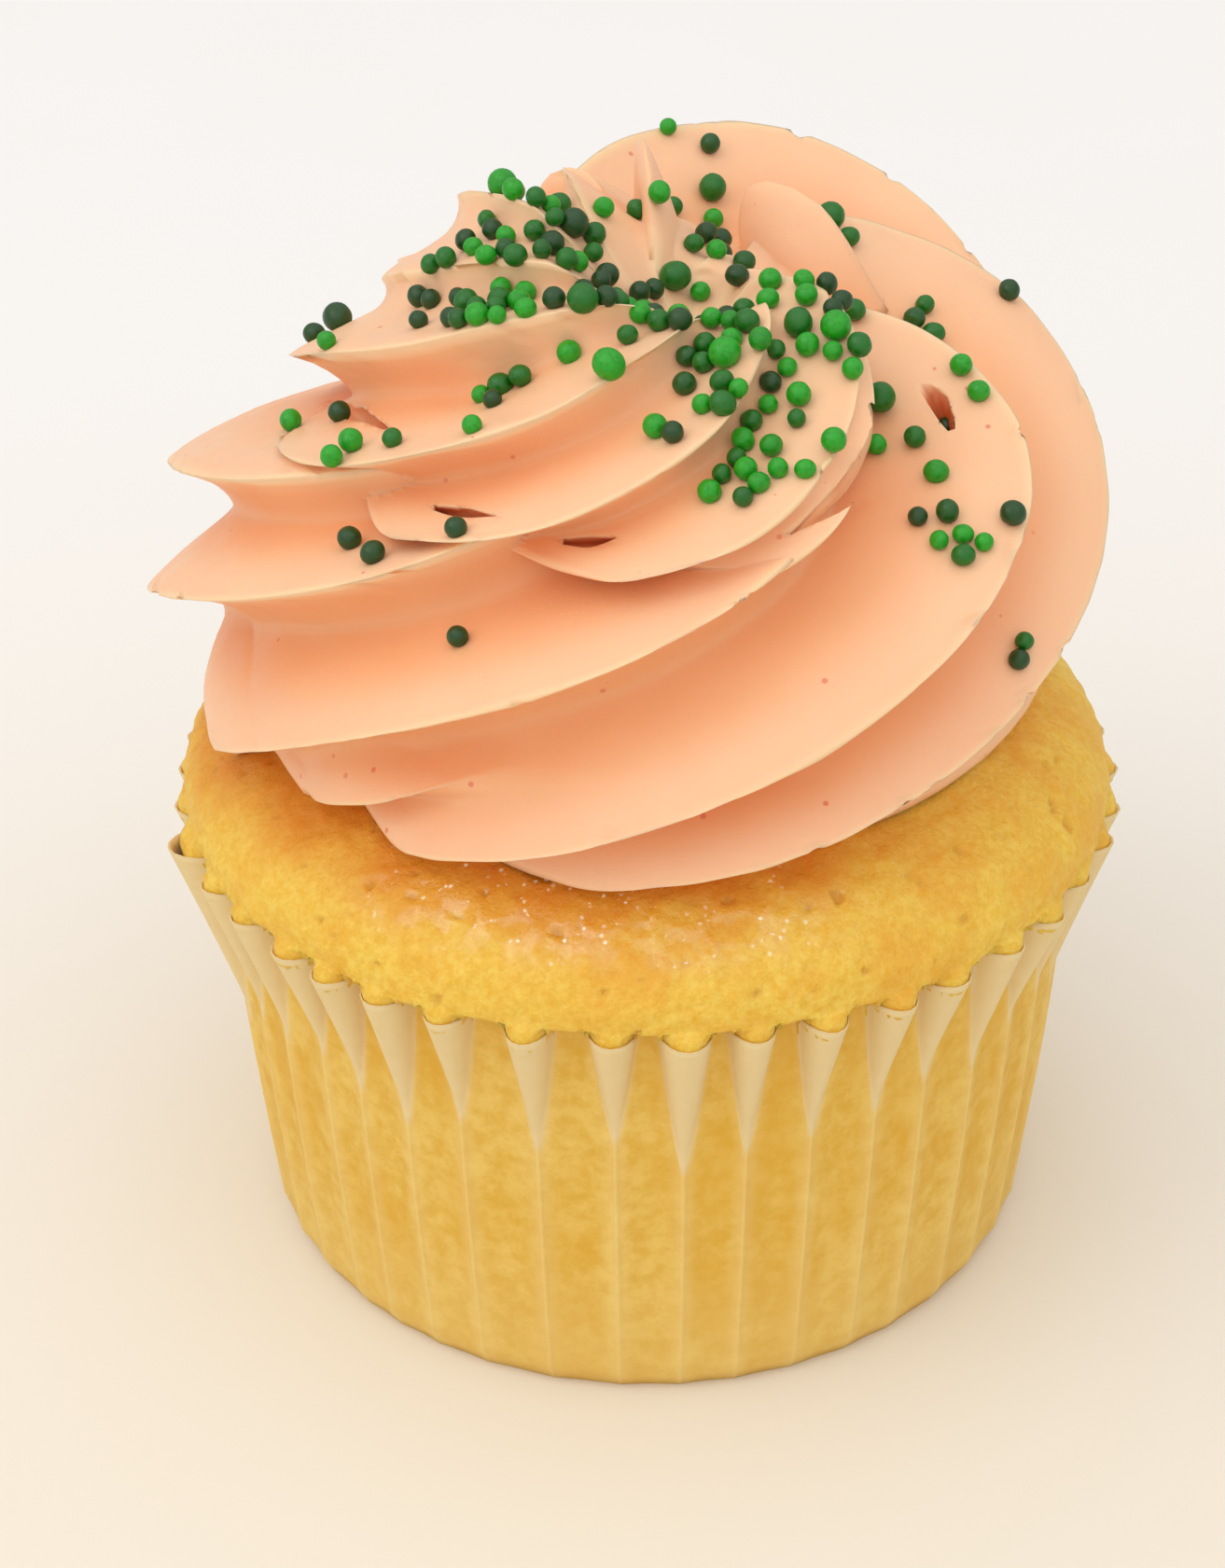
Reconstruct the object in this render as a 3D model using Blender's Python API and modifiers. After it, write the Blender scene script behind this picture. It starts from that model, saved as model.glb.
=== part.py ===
"""A cupcake in its pleated paper case, with a piped swirl of buttercream.

Metres, +Z up; the sizes below are in millimetres. The origin is the middle of the flat
base that the cupcake stands on. There are three solids: the pleated paper case, the
sponge that fills it and domes over its rim, and the buttercream, a fluted swirl with a
smaller swirl on top. Azimuths are in degrees, anticlockwise from +X seen from above.
"""

import math

import bmesh
import bpy
from mathutils import Vector

MM = 0.001

# Paper case: straight-sided, with pleats that open out towards the rim
CASE_HEIGHT = 32.0
CASE_BASE_R = 26.7
CASE_WALL = 0.3
PLEATS = 42
PLEAT_POINTS = 4
RIM_IN_R = 29.2
RIM_OUT_R = 32.2
MID_PLEAT_DEPTH = 0.9
BASE_PLEAT_DEPTH = 0.3

# Sponge: a turned body that stops just short of the paper and bulges over its rim
GAP = 0.3
SPONGE_EDGE_R = 31.1
SPONGE_EDGE_Z = 33.1
SPONGE_TOP_Z = 42.6
DOME_POWER = 2.2
SPONGE_STEPS = 64

# Lower swirl. Outline rows: level along the ridges, radius, height. Ridge rows: azimuth
# at the foot, half way and at the top; how far the ridge stands out from the outline at
# those three places; its lift half way and at the top; the share of the full depth that
# the hollow after it has; and faces in that hollow. One ridge fades out between two levels
LOWER_AXIS = (-0.5, 0.5)
LOWER_LEAN = (0.0, 0.0)
LOWER_OUTLINE = ((0.0, 24.6, 39.3), (0.05, 26.8, 40.2), (0.2, 28.8, 44.2), (0.5, 29.0, 53.6),
                 (0.65, 27.2, 58.3), (0.76, 23.8, 61.6), (0.88, 17.5, 64.0), (1.0, 10.0, 65.0))
LOWER_RIDGES = (
    (-104, -7, 52, 0.4, 1.2, 5.0, 0.0, 2.4, 1.0, 8),
    (10, 39, 112, 1.0, 0.3, 3.5, 7.8, 3.4, 1.0, 6),
    (50, 105, 165, 1.0, -0.5, -1.5, 1.0, 0.0, 1.0, 6),
    (105, 172, 260, 2.0, 2.0, -5.0, 0.0, -1.5, 0.75, 6),
    (150, 211, 285, 5.0, 1.0, -5.5, 0.0, -2.0, 1.0, 6),
    (198, 255, 340, 3.0, 0.0, 0.0, 0.0, -2.0, 1.0, 4),
    (213, 280, 350, 0.0, -2.0, -2.0, 0.0, -1.0, 1.0, 4),
    (231, 307, 372, 0.0, 0.6, 0.5, 0.0, 0.8, 1.0, 6),
)
LOWER_FADING = (6, 0.08, 0.34)
LOWER_DEPTH = 6.6
LOWER_HEART_Z = 46.0
LOWER_LEVELS = 24

# Upper swirl, described the same way; its underside is buried in the lower one, and its
# last levels turn down into the crater at the top
UPPER_AXIS = (0.5, 0.0)
UPPER_LEAN = (1.6, -2.0)
UPPER_OUTLINE = ((0.0, 15.0, 56.5), (0.08, 22.6, 59.0), (0.15, 23.9, 60.0), (0.3, 23.4, 61.9),
                 (0.45, 20.8, 64.4), (0.6, 17.2, 66.6), (0.75, 13.0, 68.9), (0.9, 8.8, 69.9),
                 (1.0, 6.2, 69.4), (1.1, 3.8, 67.6), (1.2, 1.4, 66.0))
UPPER_RIDGES = (
    (-78, -46, 0, 0.0, -1.0, -2.0, 0.0, -0.8, 0.5, 4),
    (-45, -8, 40, -9.0, -7.5, -2.0, -1.0, -2.0, 0.4, 3),
    (-10, 28, 72, -9.0, -8.0, -2.0, -1.0, -2.0, 0.4, 3),
    (25, 63, 108, -8.0, -6.0, -1.0, -0.5, 0.5, 0.5, 3),
    (60, 98, 145, -2.0, -1.5, 1.0, 1.8, 3.2, 1.0, 4),
    (95, 132, 180, 0.0, -0.8, 1.0, 2.6, 3.2, 0.3, 4),
    (125, 162, 215, -1.5, -1.8, 1.0, 0.8, 1.6, 0.35, 4),
    (155, 192, 252, 0.0, 0.0, 0.0, 0.0, 0.5, 1.0, 5),
    (180, 236, 285, 0.5, 0.2, -0.6, 0.0, -0.6, 1.0, 5),
    (215, 274, 322, 0.7, -0.7, 0.0, 0.0, -0.4, 1.0, 5),
    (254, 304, 350, 0.0, 0.0, 0.0, 0.0, -0.2, 1.0, 4),
)
UPPER_DEPTH = 5.2
UPPER_HEART_Z = 56.0
UPPER_END = 1.2
UPPER_LEVELS = 20

# Hollows: the shape of their section, and the level above which they have full depth
HOLLOW_SKEW = 0.54
HOLLOW_POWER = 1.6
LOWER_FULL_AT = 0.25
UPPER_FULL_AT = 0.1

# Slits left between strands: x, y, z and half the width along each, and how deep it goes
SLITS = (
    (((13.4, -13.5, 66.2, 0.15), (14.4, -12.6, 63.6, 0.75), (13.6, -14.8, 62.4, 0.85),
      (11.6, -18.2, 62.0, 0.65), (8.4, -21.4, 61.6, 0.15)), 6.0),
    (((12.6, -9.4, 67.2, 0.3), (15.4, -6.0, 66.0, 0.9), (18.0, -6.4, 63.8, 0.8),
      (18.8, -8.0, 61.8, 0.2)), 4.5),
    (((-21.2, 1.0, 60.6, 0.75), (-18.8, -3.2, 61.1, 0.7), (-15.6, -10.0, 62.7, 0.15)), 4.0),
)
SLIT_WAY = (0.0, 0.783, -0.622)

# Torn peaks: foot, tip, half the length and thickness of the foot, and which way it lies
PEAKS = (
    ((0.4, 4.5, 65.0), (0.0, 8.4, 73.6), 5.5, 1.9, 96),
    ((11.0, 9.0, 63.0), (8.8, 10.8, 69.8), 5.5, 2.2, -37),
    ((-5.5, 7.0, 65.0), (-4.2, 8.6, 71.8), 4.0, 2.0, 145),
)


def clear_scene():
    for obj in list(bpy.data.objects):
        bpy.data.objects.remove(obj, do_unlink=True)


def collection(name, cutters=False):
    made = bpy.data.collections.new(name)
    bpy.context.scene.collection.children.link(made)
    made.hide_render = cutters
    return made


def material(name, colour, roughness):
    made = bpy.data.materials.new(name)
    made.use_nodes = True
    shader = made.node_tree.nodes["Principled BSDF"]
    shader.inputs["Base Color"].default_value = (*colour, 1.0)
    shader.inputs["Roughness"].default_value = roughness
    shader.inputs["Metallic"].default_value = 0.0
    return made


def mix(a, b, t):
    return a + (b - a) * t


def around(azimuth, radius, height, axis=(0.0, 0.0)):
    turn = math.radians(azimuth)
    return (axis[0] + radius * math.cos(turn), axis[1] + radius * math.sin(turn), height)


def smooth_rows(rows, level):
    """Radius and height part way along an outline, on a curve through its rows."""
    level = min(max(level, rows[0][0]), rows[-1][0])
    i = max(k for k in range(len(rows) - 1) if rows[k][0] <= level)
    a, b = rows[i], rows[i + 1]
    before, after = rows[max(i - 1, 0)], rows[min(i + 2, len(rows) - 1)]
    span = b[0] - a[0]
    t = (level - a[0]) / span
    values = []
    for n in (1, 2):
        start = (b[n] - before[n]) / (b[0] - before[0]) * span
        end = (after[n] - a[n]) / (after[0] - a[0]) * span
        values.append((2 * t**3 - 3 * t**2 + 1) * a[n] + (t**3 - 2 * t**2 + t) * start
                      + (3 * t**2 - 2 * t**3) * b[n] + (t**3 - t**2) * end)
    return values


def through_three(values, level):
    """The smooth curve through the values at the foot, half way and at the top."""
    foot, half, top = values
    return (foot * (1 - level) * (1 - 2 * level) + half * 4 * level * (1 - level)
            + top * level * (2 * level - 1))


def closed_body(name, rings, finish, group):
    """A closed body skinned over rings of equal length, listed from inside its underside
    round its outer side to its top, with a fan closing each end."""
    build = bmesh.new()
    rows = [[build.verts.new([c * MM for c in point]) for point in ring] for ring in rings]
    count = len(rows[0])
    for lower, upper in zip(rows, rows[1:]):
        for i in range(count):
            j = (i + 1) % count
            build.faces.new((lower[i], lower[j], upper[i]))
            build.faces.new((lower[j], upper[j], upper[i]))
    for row, is_underside in ((rows[0], True), (rows[-1], False)):
        middle = [sum(v.co[k] for v in row) / count for k in range(3)]
        centre = build.verts.new(middle)
        for i in range(count):
            a, b = row[i], row[(i + 1) % count]
            build.faces.new((b, a, centre) if is_underside else (a, b, centre))
    mesh = bpy.data.meshes.new(name)
    build.to_mesh(mesh)
    build.free()
    obj = bpy.data.objects.new(name, mesh)
    group.objects.link(obj)
    mesh.materials.append(finish)
    return obj


def pleated_ring(up, inset):
    """One turn of the case wall at a fraction of its height, set in by a distance."""
    rim_depth = (RIM_OUT_R - RIM_IN_R) / 2
    depth = (through_three((BASE_PLEAT_DEPTH, MID_PLEAT_DEPTH, rim_depth), up)
             if up > 0 else BASE_PLEAT_DEPTH)
    middle = mix(CASE_BASE_R, (RIM_IN_R + RIM_OUT_R) / 2, up)
    ring = []
    for i in range(PLEATS * PLEAT_POINTS):
        wave = math.cos(2 * math.pi * i / PLEAT_POINTS)
        ring.append(around(360 * i / (PLEATS * PLEAT_POINTS), middle + depth * wave - inset,
                           max(up * CASE_HEIGHT, CASE_WALL if inset else 0.0)))
    return ring


def paper_case(finish, group):
    outer = [pleated_ring(up, 0.0) for up in (0.0, 0.5, 1.0)]
    inner = [pleated_ring(up, CASE_WALL) for up in (1.0, 0.5, 0.0)]
    return closed_body("paper_case", outer + inner, finish, group)


def dome_height(radius):
    share = min(radius / SPONGE_EDGE_R, 1.0)
    rise = (1 - share**DOME_POWER) ** (1 / DOME_POWER)
    return mix(SPONGE_EDGE_Z, SPONGE_TOP_Z, rise)


def sponge(finish, group):
    """Turned from its profile, which runs from the top of the dome down to the base."""
    radii = [SPONGE_EDGE_R * math.sin(math.pi / 2 * i / 9) for i in range(10)]
    profile = [(radius, dome_height(radius)) for radius in radii]
    inside_rim = RIM_IN_R - CASE_WALL - GAP
    inside_base = CASE_BASE_R - BASE_PLEAT_DEPTH - CASE_WALL - GAP
    profile += [(30.8, 32.6), (30.2, CASE_HEIGHT + GAP), (inside_rim, CASE_HEIGHT + GAP),
                (inside_base, CASE_WALL + GAP), (0.0, CASE_WALL + GAP)]
    mesh = bpy.data.meshes.new("sponge")
    points = [(r * MM, 0.0, z * MM) for r, z in profile]
    mesh.from_pydata(points, [(i, i + 1) for i in range(len(points) - 1)], [])
    obj = bpy.data.objects.new("sponge", mesh)
    group.objects.link(obj)
    mesh.materials.append(finish)
    turn = obj.modifiers.new("turn", "SCREW")
    turn.angle = math.tau
    turn.screw_offset = 0.0
    turn.steps = turn.render_steps = SPONGE_STEPS
    turn.use_merge_vertices = True
    turn.merge_threshold = 0.00002
    return obj


def crest_at(rows, level, ridge):
    """Where a ridge's crest lies at a level: azimuth, radius, height, and the depth share
    and the faces of the hollow after it."""
    radius, height = smooth_rows(rows, level)
    share = min(radius / 8.0, 1.0)
    return (through_three(ridge[:3], level), radius + share * through_three(ridge[3:6], level),
            height + share * through_three((0.0, *ridge[6:8]), level), ridge[8], ridge[9])


def hollow_between(here, after, faces, depth, heart):
    """Points from one crest up to the next, hollowed towards the heart of the swirl, most
    of all just under the upper crest."""
    width = math.radians(after[0] - here[0]) * here[1]
    hollow = min(depth * here[3], 0.36 * width, 0.065 * width**2)
    points = []
    for i in range(faces):
        part = mix(i / faces, (1 - math.cos(math.pi * i / faces)) / 2, 0.5)
        azimuth, radius, height = (mix(here[n], after[n], part) for n in range(3))
        sink = hollow * (1 - abs(2 * part**HOLLOW_SKEW - 1) ** HOLLOW_POWER)
        sink /= math.hypot(radius, height - heart)
        points.append(around(azimuth, radius * (1 - sink), mix(height, heart, sink)))
    return points


def swirl_ring(rows, ridges, centre, depth, heart, fading, full_at, level):
    """One turn through every crest at this level, hollowed in between, less so close to
    the foot. A fading ridge gives way to one broad hollow."""
    axis, lean = centre
    depth *= 0.25 + 0.75 * min(level / full_at, 1.0)
    crests = [crest_at(rows, level, ridge) for ridge in ridges]
    crests.append((crests[0][0] + 360, *crests[0][1:]))
    sectors = [hollow_between(here, after, here[4], depth, heart)
               for here, after in zip(crests, crests[1:])]
    if fading:
        k, start, stop = fading
        fade = min(max((level - start) / (stop - start), 0.0), 1.0)
        pair = sectors[k - 1] + sectors[k]
        broad = hollow_between(crests[k - 1], crests[k + 1], len(pair), depth, heart)
        blend = [tuple(mix(a, b, fade) for a, b in zip(p, q)) for p, q in zip(pair, broad)]
        sectors[k - 1:k + 1] = [blend]
    shift = [axis[n] + lean[n] * level**3 for n in (0, 1)]
    return [(x + shift[0], y + shift[1], z) for sector in sectors for x, y, z in sector]


def lower_swirl(finish, group):
    """The foot lies along the dome of the sponge; the ridges rise and turn in."""
    shape = (LOWER_OUTLINE, LOWER_RIDGES, (LOWER_AXIS, LOWER_LEAN), LOWER_DEPTH, LOWER_HEART_Z,
             LOWER_FADING, LOWER_FULL_AT)
    rings = []
    foot = swirl_ring(*shape, 0.0)
    for share in (0.3, 0.55, 0.75, 0.9, 1.0):
        rings.append([(x * share, y * share,
                       dome_height(math.hypot(x, y) * share) + GAP + 0.1) for x, y, _ in foot])
    rings += [swirl_ring(*shape, (i + 1) / LOWER_LEVELS) for i in range(LOWER_LEVELS)]
    return closed_body("frosting", rings, finish, group)


def upper_swirl(finish, group):
    shape = (UPPER_OUTLINE, UPPER_RIDGES, (UPPER_AXIS, UPPER_LEAN), UPPER_DEPTH, UPPER_HEART_Z,
             None, UPPER_FULL_AT)
    rings = [swirl_ring(*shape, UPPER_END * i / UPPER_LEVELS) for i in range(UPPER_LEVELS + 1)]
    return closed_body("upper_swirl", rings, finish, group)


def slit(number, path, depth, finish, group):
    """A cutter for the gap between two strands: a lens swept along its path."""
    way = Vector(SLIT_WAY).normalized()
    course = [Vector(row[:3]) for row in path]
    first, last = course[0].dot(way), course[-1].dot(way)
    course = [point + way * (mix(first, last, i / (len(path) - 1)) - point.dot(way))
              for i, point in enumerate(course)]
    rings = []
    for i, middle in enumerate(course):
        heading = course[min(i + 1, len(course) - 1)] - course[max(i - 1, 0)]
        side = heading.cross(way).normalized()
        ring = []
        for k in range(8):
            turn = math.tau * k / 8
            down = (depth - 1.5) / 2 + (depth + 1.5) / 2 * math.sin(turn)
            ring.append(tuple(middle + side * path[i][3] * math.cos(turn) + way * down))
        rings.append(ring)
    return outward(closed_body(f"slit_{number}", rings, finish, group))


def peak(number, foot, tip, half_length, half_width, azimuth, finish, group):
    """A thin blade of buttercream, drawn up to a torn point."""
    along = Vector(around(azimuth, 1.0, 0.0))
    side = Vector((-along.y, along.x, 0.0))
    rings = []
    for up in (0.0, 0.25, 0.5, 0.75, 0.9, 1.0):
        size = (1 - up) ** 0.6 + 0.04
        middle = Vector(foot).lerp(Vector(tip), up**1.1)
        ring = []
        for k in range(10):
            spin = math.tau * k / 10
            across = math.sin(spin) * (1 - 0.55 * math.sin(spin) * math.sin(math.pi * up))
            ring.append(tuple(middle + along * math.cos(spin) * half_length * size**0.5
                              + side * across * half_width * size))
        rings.append(ring)
    return outward(closed_body(f"peak_{number}", rings, finish, group))


def outward(obj):
    """The object with its faces turned to point outwards."""
    build = bmesh.new()
    build.from_mesh(obj.data)
    bmesh.ops.recalc_face_normals(build, faces=build.faces)
    build.to_mesh(obj.data)
    build.free()
    return obj


def change(obj, tool, operation):
    tool.display_type = "WIRE"
    step = obj.modifiers.new(tool.name, "BOOLEAN")
    step.operation = operation
    step.solver = "EXACT"
    step.object = tool


clear_scene()
parts = collection("cupcake")
tools = collection("cupcake_cutters", cutters=True)
paper = material("paper", (0.85, 0.72, 0.42), 0.7)
crumb = material("sponge", (0.8, 0.45, 0.08), 0.75)
cream = material("buttercream", (0.93, 0.58, 0.38), 0.5)
paper_case(paper, parts)
sponge(crumb, parts)
swirl = lower_swirl(cream, parts)
change(swirl, upper_swirl(cream, tools), "UNION")
for number, shape in enumerate(PEAKS):
    change(swirl, peak(number, *shape, cream, tools), "UNION")
for number, (path, depth) in enumerate(SLITS):
    change(swirl, slit(number, path, depth, cream, tools), "DIFFERENCE")
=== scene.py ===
"""The looks of a frosted cupcake in its pleated paper case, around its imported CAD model.

Metres, +Z up; the sizes below are in millimetres and azimuths in degrees, anticlockwise
from +X seen from above. Four pieces are made here: the buttercream swirl, the sponge, the
paper case and the sprinkles. The first three stand for the CAD solids of the same shape.
"""

import math
import random

import bmesh
import bpy
import numpy as np
from mathutils import Matrix, Vector, noise
from mathutils.bvhtree import BVHTree
from mathutils.kdtree import KDTree


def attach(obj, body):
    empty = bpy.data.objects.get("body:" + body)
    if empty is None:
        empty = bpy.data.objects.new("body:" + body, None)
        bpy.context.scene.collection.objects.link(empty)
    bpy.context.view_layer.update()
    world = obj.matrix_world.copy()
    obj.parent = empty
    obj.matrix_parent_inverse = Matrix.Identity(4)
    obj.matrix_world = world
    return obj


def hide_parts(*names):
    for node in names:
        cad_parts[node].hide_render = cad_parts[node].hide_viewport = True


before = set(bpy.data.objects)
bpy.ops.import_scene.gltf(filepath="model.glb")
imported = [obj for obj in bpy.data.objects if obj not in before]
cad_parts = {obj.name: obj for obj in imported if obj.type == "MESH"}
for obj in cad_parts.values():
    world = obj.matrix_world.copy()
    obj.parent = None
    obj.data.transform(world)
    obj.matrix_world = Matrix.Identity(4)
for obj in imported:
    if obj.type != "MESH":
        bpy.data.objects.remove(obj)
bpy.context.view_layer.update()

MM = 0.001

# Buttercream. Outline rows: level along the ridges, radius, height. Ridge rows: azimuth
# at the foot, half way and at the top; how far the ridge stands out from the outline at
# those three places; its lift half way and at the top; share of the full depth that the
# hollow after it has
LOWER_AXIS = (-0.5, 0.5)
LOWER_LEAN = (0.0, 0.0)
LOWER_OUTLINE = ((0.0, 24.6, 39.3), (0.05, 26.8, 40.2), (0.2, 28.8, 44.2), (0.5, 29.0, 53.6),
                 (0.65, 27.2, 58.3), (0.76, 23.8, 61.6), (0.88, 17.5, 64.0), (1.0, 10.0, 65.0))
LOWER_RIDGES = (
    (-104, -7, 52, 0.4, 1.2, 5.0, 0.0, 2.4, 1.0),
    (10, 39, 112, 1.0, 0.3, 3.5, 7.8, 3.4, 1.0),
    (50, 105, 165, 1.0, -0.5, -1.5, 1.0, 0.0, 1.0),
    (105, 172, 260, 2.0, 2.0, -5.0, 0.0, -1.5, 0.75),
    (150, 211, 285, 5.0, 1.0, -5.5, 0.0, -2.0, 1.0),
    (198, 255, 340, 3.0, 0.0, 0.0, 0.0, -2.0, 1.0),
    (213, 280, 350, 0.0, -2.0, -2.0, 0.0, -1.0, 1.0),
    (231, 307, 372, 0.0, 0.6, 0.5, 0.0, 0.8, 1.0),
)
LOWER_FADING = (6, 0.08, 0.34)
LOWER_DEPTH = 6.6
LOWER_HEART_Z = 46.0
UPPER_AXIS = (0.5, 0.0)
UPPER_LEAN = (1.6, -2.0)
UPPER_OUTLINE = ((0.0, 15.0, 56.5), (0.08, 22.6, 59.0), (0.15, 23.9, 60.0), (0.3, 23.4, 61.9),
                 (0.45, 20.8, 64.4), (0.6, 17.2, 66.6), (0.75, 13.0, 68.9), (0.9, 8.8, 69.9),
                 (1.0, 6.2, 69.4), (1.1, 3.8, 67.6), (1.2, 1.4, 66.0))
UPPER_RIDGES = (
    (-78, -46, 0, 0.0, -1.0, -2.0, 0.0, -0.8, 0.5),
    (-45, -8, 40, -9.0, -7.5, -2.0, -1.0, -2.0, 0.4),
    (-10, 28, 72, -9.0, -8.0, -2.0, -1.0, -2.0, 0.4),
    (25, 63, 108, -8.0, -6.0, -1.0, -0.5, 0.5, 0.5),
    (60, 98, 145, -2.0, -1.5, 1.0, 1.8, 3.2, 1.0),
    (95, 132, 180, 0.0, -0.8, 1.0, 2.6, 3.2, 0.3),
    (125, 162, 215, -1.5, -1.8, 1.0, 0.8, 1.6, 0.35),
    (155, 192, 252, 0.0, 0.0, 0.0, 0.0, 0.5, 1.0),
    (180, 236, 285, 0.5, 0.2, -0.6, 0.0, -0.6, 1.0),
    (215, 274, 322, 0.7, -0.7, 0.0, 0.0, -0.4, 1.0),
    (254, 304, 350, 0.0, 0.0, 0.0, 0.0, -0.2, 1.0),
)
UPPER_DEPTH = 5.2
UPPER_HEART_Z = 56.0
UPPER_END = 1.2
HOLLOW_FULL_AT = 0.25
HOLLOW_SKEW = 0.54
HOLLOW_POWER = 1.6
CREST_ROUND = 0.2
# Slits left between strands: x, y, z and half the width along each, and how deep it goes
SLITS = (
    (((13.4, -13.5, 66.2, 0.15), (14.4, -12.6, 63.6, 0.9), (13.6, -14.8, 62.4, 1.05),
      (11.6, -18.2, 62.0, 0.85), (8.4, -21.4, 61.6, 0.15)), 6.0),
    (((12.6, -9.4, 67.2, 0.3), (15.4, -6.0, 66.0, 0.9), (18.0, -6.4, 63.8, 0.8),
      (18.8, -8.0, 61.8, 0.2)), 4.5),
    (((-21.2, 1.0, 60.6, 0.75), (-18.8, -3.2, 61.1, 0.7), (-15.6, -10.0, 62.7, 0.15)), 4.0),
    (((-12.4, -17.2, 61.4, 0.1), (-10.6, -18.2, 61.4, 0.35), (-8.6, -19.4, 61.7, 0.1)), 3.5),
    (((-4.8, -20.4, 60.9, 0.3), (-3.2, -20.6, 60.8, 0.55), (-1.6, -20.8, 61.2, 0.1)), 3.0),
)
SLIT_WAY = (0.0, 0.78, -0.62)
# Torn peaks: foot, tip, half the length and thickness of the foot, and which way it lies
PEAKS = (
    ((0.4, 4.5, 65.0), (0.0, 8.4, 73.6), 5.5, 1.9, 96),
    ((11.0, 9.0, 63.0), (8.8, 10.8, 69.8), 5.5, 2.2, -37),
    ((-5.5, 7.0, 65.0), (-4.2, 8.6, 71.8), 4.0, 2.0, 145),
)
LOWER_POINTS = 24
LOWER_LEVELS = 190
UPPER_POINTS = 17
UPPER_LEVELS = 150

# Sponge
SPONGE_EDGE_R = 31.1
SPONGE_EDGE_Z = 33.1
SPONGE_TOP_Z = 42.6
DOME_POWER = 2.2

# Paper case
CASE_HEIGHT = 32.0
CASE_BASE_R = 26.7
CASE_FILLET = 0.6
RIM_IN_R = 29.2
PAPER = 0.14
PLEATS = 42
FRONT_PLEATS = (-136.6, -129.7, -122.2, -114.0, -103.8, -93.9, -85.3, -77.4, -68.8, -59.7, -51.9)
FLAP = 39
FLAP_SHAPE = (15.5, 2.1, 3.7)
LOBE_POINTS = 5
GAP_POINTS = 8
CASE_LEVELS = 50

# Sprinkles
SPRINKLE_D = (1.15, 1.55)
SPRINKLE_BIG = 1.9

SEED = 20


def mix(a, b, t):
    return a + (b - a) * t


def smoothstep(low, high, value):
    t = np.clip((value - low) / (high - low), 0.0, 1.0)
    return t * t * (3 - 2 * t)


def linear(*srgb):
    """A colour given in display values of 0 to 255, as linear values."""
    return tuple(((c / 255 + 0.055) / 1.055) ** 2.4 if c > 10 else c / 255 / 12.92 for c in srgb)


def smooth_rows(rows, level):
    """Radius and height part way along an outline, on a curve through its rows."""
    level = min(max(level, rows[0][0]), rows[-1][0])
    i = max(k for k in range(len(rows) - 1) if rows[k][0] <= level)
    a, b = rows[i], rows[i + 1]
    before, after = rows[max(i - 1, 0)], rows[min(i + 2, len(rows) - 1)]
    span = b[0] - a[0]
    t = (level - a[0]) / span
    values = []
    for n in (1, 2):
        start = (b[n] - before[n]) / (b[0] - before[0]) * span
        end = (after[n] - a[n]) / (after[0] - a[0]) * span
        values.append((2 * t**3 - 3 * t**2 + 1) * a[n] + (t**3 - 2 * t**2 + t) * start
                      + (3 * t**2 - 2 * t**3) * b[n] + (t**3 - t**2) * end)
    return values


def through_three(values, level):
    """The smooth curve through the values at the foot, half way and at the top."""
    foot, half, top = values
    return (foot * (1 - level) * (1 - 2 * level) + half * 4 * level * (1 - level)
            + top * level * (2 * level - 1))


def crest_at(rows, level, ridge):
    """Where a ridge's crest lies at a level: azimuth, radius, height, hollow after it."""
    radius, height = smooth_rows(rows, level)
    share = min(radius / 8.0, 1.0)
    return (through_three(ridge[:3], level), radius + share * through_three(ridge[3:6], level),
            height + share * through_three((0.0, *ridge[6:8]), level), ridge[8])


def hollow_between(here, after, points, depth, heart):
    """The points from one crest up to the next, hollowed towards the heart of the swirl,
    most of all just under the upper crest, with how near each is to a crest."""
    even = np.arange(points) / points
    part = mix(even, 0.5 - 0.5 * np.cos(math.pi * even), 0.75)
    width = math.radians(after[0] - here[0]) * here[1]
    hollow = min(depth * here[3], 0.36 * width, 0.065 * width**2)
    hollow *= 1 - np.abs(2 * part**HOLLOW_SKEW - 1) ** HOLLOW_POWER
    azimuth, radius, height = (mix(here[n], after[n], part) for n in range(3))
    sink = np.sqrt(hollow**2 + CREST_ROUND**2) - CREST_ROUND
    sink = sink / np.hypot(radius, height - heart)
    turn, out = np.radians(azimuth), radius * (1 - sink)
    place = np.stack([out * np.cos(turn), out * np.sin(turn), mix(height, heart, sink)], 1)
    crest = 1 - np.minimum(part, 1 - part) * min(width, 12.0) / 1.2
    return place, np.column_stack([np.clip(crest, 0, 1), hollow / 5.0])


def swirl_ring(rows, ridges, centre, depth, heart, points, fading, full_at, level):
    """One turn through every crest at this level, as x, y, z rows in mm, with how near
    each point is to a crest. A fading ridge gives way to one broad hollow."""
    axis, lean = centre
    depth *= 0.25 + 0.75 * min(level / full_at, 1.0)
    crests = [crest_at(rows, level, ridge) for ridge in ridges]
    crests.append((crests[0][0] + 360, *crests[0][1:]))
    sectors = [hollow_between(here, after, points, depth, heart)
               for here, after in zip(crests, crests[1:])]
    if fading:
        k, start, stop = fading
        fade = float(smoothstep(start, stop, level))
        broad = hollow_between(crests[k - 1], crests[k + 1], 2 * points, depth, heart)
        pair = [np.concatenate([sectors[k - 1][n], sectors[k][n]]) for n in (0, 1)]
        sectors[k - 1:k + 1] = [[mix(pair[n], broad[n], fade) for n in (0, 1)]]
    ring = np.concatenate([sector[0] for sector in sectors])
    ring[:, 0] += axis[0] + lean[0] * level**3
    ring[:, 1] += axis[1] + lean[1] * level**3
    return ring, np.concatenate([sector[1] for sector in sectors])


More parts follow.
